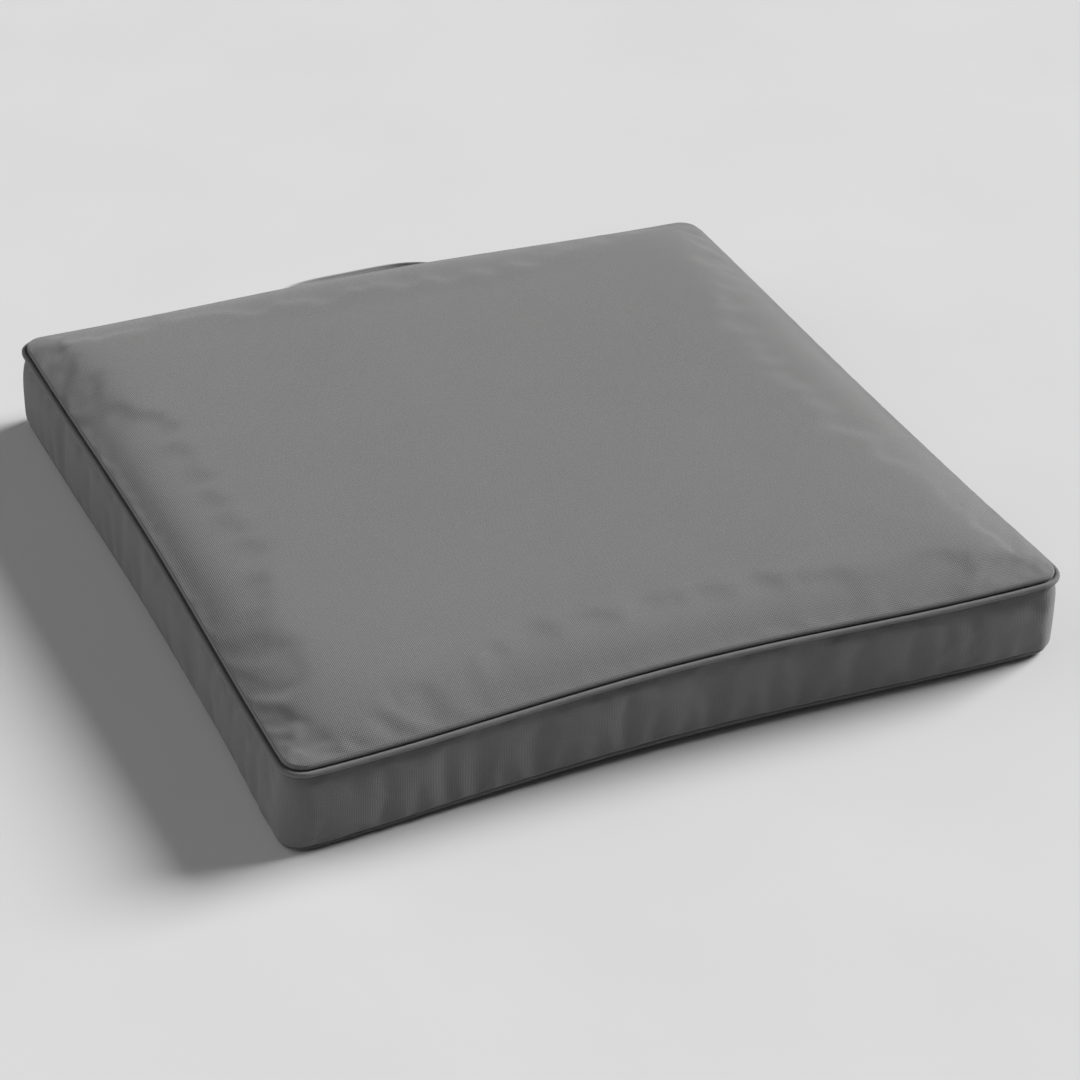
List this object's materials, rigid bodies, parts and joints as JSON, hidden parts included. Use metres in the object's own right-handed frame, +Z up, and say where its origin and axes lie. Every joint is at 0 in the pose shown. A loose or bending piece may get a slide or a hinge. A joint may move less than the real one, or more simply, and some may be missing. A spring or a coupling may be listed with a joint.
{
  "type": "kneeling pad",
  "caption": "Square box-edged kneeling pad in grey woven fabric with welted seams, a zip along one side and a webbing carry handle at the back.",
  "frame": {"origin": "centre of the pad's underside, on the floor", "axes": "+Z up through the kneeling face, +X right along the front edge towards the zip, +Y towards the rear, where the handle is"},
  "size_m": [0.4537, 0.4807, 0.065],
  "materials": {
    "cover_fabric": "matt woven fabric, mid grey",
    "welt_fabric": "the same fabric cut on the bias, darker in use",
    "welt_cord": "twisted cotton filler cord",
    "foam": "open-cell foam, cut faces",
    "fibre": "bonded polyester wadding",
    "zip_tape": "woven polyester tape",
    "zip_coil": "satin nylon",
    "zip_metal": "dark nickel",
    "webbing": "ribbed webbing, light grey",
    "label": "blank satin ribbon"
  },
  "bodies": {
    "root": {"top_panel": "cover_fabric", "bottom_panel": "cover_fabric", "boxing_strip": "cover_fabric", "zip_band_upper": "cover_fabric", "zip_band_lower": "cover_fabric", "top_welt_cover": "welt_fabric", "bottom_welt_cover": "welt_fabric", "top_welt_cord": "welt_cord", "bottom_welt_cord": "welt_cord", "foam_core": "foam", "fibre_wrap_top": "fibre", "fibre_wrap_bottom": "fibre", "zip_tape_upper": "zip_tape", "zip_tape_lower": "zip_tape", "zip_coil_upper": "zip_coil", "zip_coil_lower": "zip_coil", "zip_top_stop_upper": "zip_metal", "zip_top_stop_lower": "zip_metal", "zip_bottom_stop": "zip_metal", "handle_end_left": "webbing", "handle_end_right": "webbing", "handle_backing_left": "cover_fabric", "handle_backing_right": "cover_fabric", "care_label": "label"},
    "slider": {"zip_slider": "zip_metal"},
    "pull": {"zip_pull": "zip_metal"},
    "handle": {"handle_strap": "webbing"}
  },
  "joints": [
    {"name": "zip_slide", "type": "slide", "parent": "root", "child": "slider", "axis": [0, -1, 0], "range_m": [0, 0.343]},
    {"name": "pull_swing", "type": "hinge", "parent": "slider", "child": "pull", "pos_m": [0.2267, 0.172, 0.0264], "axis": [0, 0, 1], "range_deg": [0, 175]},
    {"name": "handle_lift", "type": "hinge", "parent": "root", "child": "handle", "pos_m": [0, 0.2237, 0.043], "axis": [1, 0, 0], "range_deg": [0, 60]}
  ]
}
